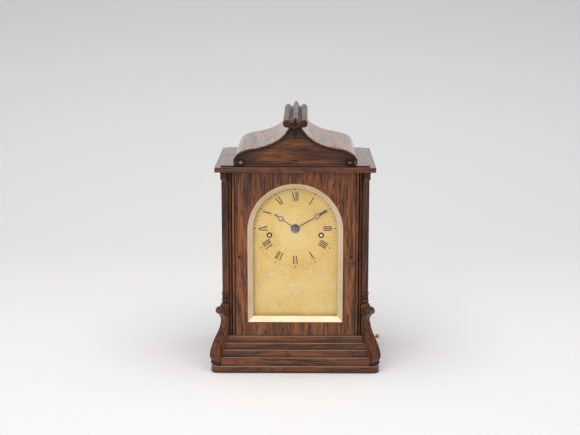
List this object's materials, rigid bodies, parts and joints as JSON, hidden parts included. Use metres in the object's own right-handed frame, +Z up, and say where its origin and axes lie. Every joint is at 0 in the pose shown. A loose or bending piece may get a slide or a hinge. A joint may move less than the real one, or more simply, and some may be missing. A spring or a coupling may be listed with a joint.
{
  "type": "bracket clock",
  "caption": "Bracket clock: streaked rosewood case with a pagoda top, carved corner scrolls, an arched glazed door, a gilt dial with moon hands, a fusee movement and a repeat pull.",
  "frame": {"origin": "on the floor under the centre of the case, on the flat underside of the base board", "axes": "+X to the viewer's right when facing the dial, +Y from the dial towards the back door, +Z up"},
  "size_m": [0.1926, 0.1587, 0.2851],
  "materials": {
    "rosewood": "streaked rosewood, French polished to a gloss",
    "dark_rosewood": "darkened wood, satin",
    "mahogany": "plain planed board, matt",
    "polished_brass": "polished and lacquered",
    "gilt_brass": "matt gilt, faintly engraved",
    "blued_steel": "heat-blued",
    "steel": "plain, fine grained",
    "bell_metal": "turned bell metal",
    "glass": "clear flat glass"
  },
  "bodies": {
    "case": {"base_board": "rosewood", "plinth_step_1": "rosewood", "plinth_step_2": "rosewood", "plinth_step_3": "rosewood", "plinth_step_4": "rosewood", "left_corner_post": "rosewood", "right_corner_post": "rosewood", "left_side_panel": "rosewood", "right_side_panel": "rosewood", "left_scroll_bracket": "rosewood", "right_scroll_bracket": "rosewood", "cornice_board": "rosewood", "roof_platform": "rosewood", "left_roof_shell": "rosewood", "right_roof_shell": "rosewood", "front_tympanum": "rosewood", "rear_tympanum": "rosewood", "left_rosette": "rosewood", "right_rosette": "rosewood", "ridge_finial": "rosewood", "front_hinge_rod": "polished_brass", "back_hinge_rod": "polished_brass", "dial_mask": "dark_rosewood", "dial_plate": "gilt_brass", "front_plate": "polished_brass", "back_plate": "polished_brass", "left_lower_pillar": "polished_brass", "left_upper_pillar": "polished_brass", "right_lower_pillar": "polished_brass", "right_upper_pillar": "polished_brass", "seat_board": "mahogany", "back_cock": "polished_brass", "bell": "bell_metal", "bell_stand": "steel"},
    "front_door": {"front_door": "rosewood", "sight_bezel": "polished_brass", "door_glass": "glass", "door_lock": "polished_brass"},
    "back_door": {"back_door": "rosewood", "back_door_glass": "glass", "back_door_knob": "polished_brass"},
    "minute_hand": {"minute_hand": "blued_steel", "cannon_pinion": "steel"},
    "hour_hand": {"hour_hand": "blued_steel", "hour_wheel": "polished_brass"},
    "minute_wheel": {"minute_wheel": "polished_brass"},
    "third_wheel": {"third_wheel": "polished_brass"},
    "centre_wheel": {"centre_wheel": "polished_brass"},
    "going_great_wheel": {"going_great_wheel": "polished_brass"},
    "escape_wheel": {"escape_wheel": "polished_brass"},
    "going_fusee": {"going_fusee": "polished_brass"},
    "going_barrel": {"going_barrel": "polished_brass"},
    "pin_wheel": {"pin_wheel": "polished_brass"},
    "strike_great_wheel": {"strike_great_wheel": "polished_brass"},
    "strike_fusee": {"strike_fusee": "polished_brass"},
    "strike_barrel": {"strike_barrel": "polished_brass"},
    "pendulum": {"pendulum": "polished_brass"},
    "pallets": {"pallets_and_crutch": "steel"},
    "hammer": {"hammer": "steel"},
    "repeat_pull": {"repeat_knob": "polished_brass"}
  },
  "joints": [
    {"name": "front_door_hinge", "type": "hinge", "parent": "case", "child": "front_door", "pos_m": [-0.06765, -0.06615, 0.132], "axis": [0, 0, -1], "range_deg": [0, 90]},
    {"name": "back_door_hinge", "type": "hinge", "parent": "case", "child": "back_door", "pos_m": [0.07, 0.0655, 0.132], "axis": [0, 0, -1], "range_deg": [0, 95]},
    {"name": "minute_hand_turn", "type": "hinge", "parent": "case", "child": "minute_hand", "pos_m": [0, -0.057, 0.159], "axis": [0, 1, 0], "continuous": true},
    {"name": "hour_hand_turn", "type": "hinge", "parent": "case", "child": "hour_hand", "pos_m": [0, -0.056, 0.159], "axis": [0, 1, 0], "continuous": true},
    {"name": "minute_wheel_turn", "type": "hinge", "parent": "case", "child": "minute_wheel", "pos_m": [0, -0.047, 0.147], "axis": [0, 1, 0], "continuous": true},
    {"name": "third_wheel_turn", "type": "hinge", "parent": "case", "child": "third_wheel", "pos_m": [-0.01322, -0.02, 0.17333], "axis": [0, 1, 0], "continuous": true},
    {"name": "centre_wheel_turn", "type": "hinge", "parent": "case", "child": "centre_wheel", "pos_m": [0, -0.02, 0.159], "axis": [0, 1, 0], "continuous": true},
    {"name": "going_great_wheel_turn", "type": "hinge", "parent": "case", "child": "going_great_wheel", "pos_m": [0.0285, 0.001, 0.1514], "axis": [0, 1, 0], "continuous": true},
    {"name": "escape_wheel_turn", "type": "hinge", "parent": "case", "child": "escape_wheel", "pos_m": [0, -0.02, 0.183], "axis": [0, 1, 0], "continuous": true},
    {"name": "going_winding", "type": "hinge", "parent": "going_great_wheel", "child": "going_fusee", "pos_m": [0.0285, -0.02, 0.1514], "axis": [0, 1, 0], "range_deg": [0, 5760]},
    {"name": "going_barrel_turn", "type": "hinge", "parent": "case", "child": "going_barrel", "pos_m": [0.031, -0.02, 0.1126], "axis": [0, 1, 0], "range_deg": [0, 3670]},
    {"name": "strike_train_turn", "type": "hinge", "parent": "case", "child": "pin_wheel", "pos_m": [-0.046, -0.02, 0.1689], "axis": [0, 1, 0], "continuous": true},
    {"name": "strike_great_wheel_turn", "type": "hinge", "parent": "case", "child": "strike_great_wheel", "pos_m": [-0.0285, -0.003, 0.1514], "axis": [0, 1, 0], "continuous": true},
    {"name": "strike_winding", "type": "hinge", "parent": "strike_great_wheel", "child": "strike_fusee", "pos_m": [-0.0285, -0.02, 0.1514], "axis": [0, 1, 0], "range_deg": [0, 5760]},
    {"name": "strike_barrel_turn", "type": "hinge", "parent": "case", "child": "strike_barrel", "pos_m": [-0.031, -0.02, 0.1126], "axis": [0, 1, 0], "range_deg": [0, 3670]},
    {"name": "pendulum_swing", "type": "hinge", "parent": "case", "child": "pendulum", "pos_m": [0, 0.0175, 0.1988], "axis": [0, 1, 0], "range_deg": [-3, 3]},
    {"name": "pallets_rock", "type": "hinge", "parent": "case", "child": "pallets", "pos_m": [0, 0, 0.1964], "axis": [0, 1, 0], "range_deg": [-3, 3]},
    {"name": "hammer_lift", "type": "hinge", "parent": "case", "child": "hammer", "pos_m": [-0.05, 0, 0.186], "axis": [0, -1, 0], "range_deg": [0, 10], "stiffness_Nm_per_rad": 0.005, "springref_deg": -5.73},
    {"name": "repeat_pull_slide", "type": "slide", "parent": "case", "child": "repeat_pull", "axis": [1, 0, 0], "range_m": [0, 0.012], "stiffness_N_per_m": 40, "springref_m": -0.02}
  ],
  "couplings": [
    {"joint": "hour_hand_turn", "follows": "minute_hand_turn", "ratio": 0.083333},
    {"joint": "minute_wheel_turn", "follows": "minute_hand_turn", "ratio": -0.33333},
    {"joint": "centre_wheel_turn", "follows": "third_wheel_turn", "ratio": -0.083333},
    {"joint": "going_great_wheel_turn", "follows": "third_wheel_turn", "ratio": 0.0069444},
    {"joint": "escape_wheel_turn", "follows": "third_wheel_turn", "ratio": -12},
    {"joint": "going_barrel_turn", "follows": "going_winding", "ratio": 0.636},
    {"joint": "strike_great_wheel_turn", "follows": "strike_train_turn", "ratio": -0.1},
    {"joint": "strike_barrel_turn", "follows": "strike_winding", "ratio": 0.636},
    {"joint": "pallets_rock", "follows": "pendulum_swing", "ratio": 1}
  ]
}
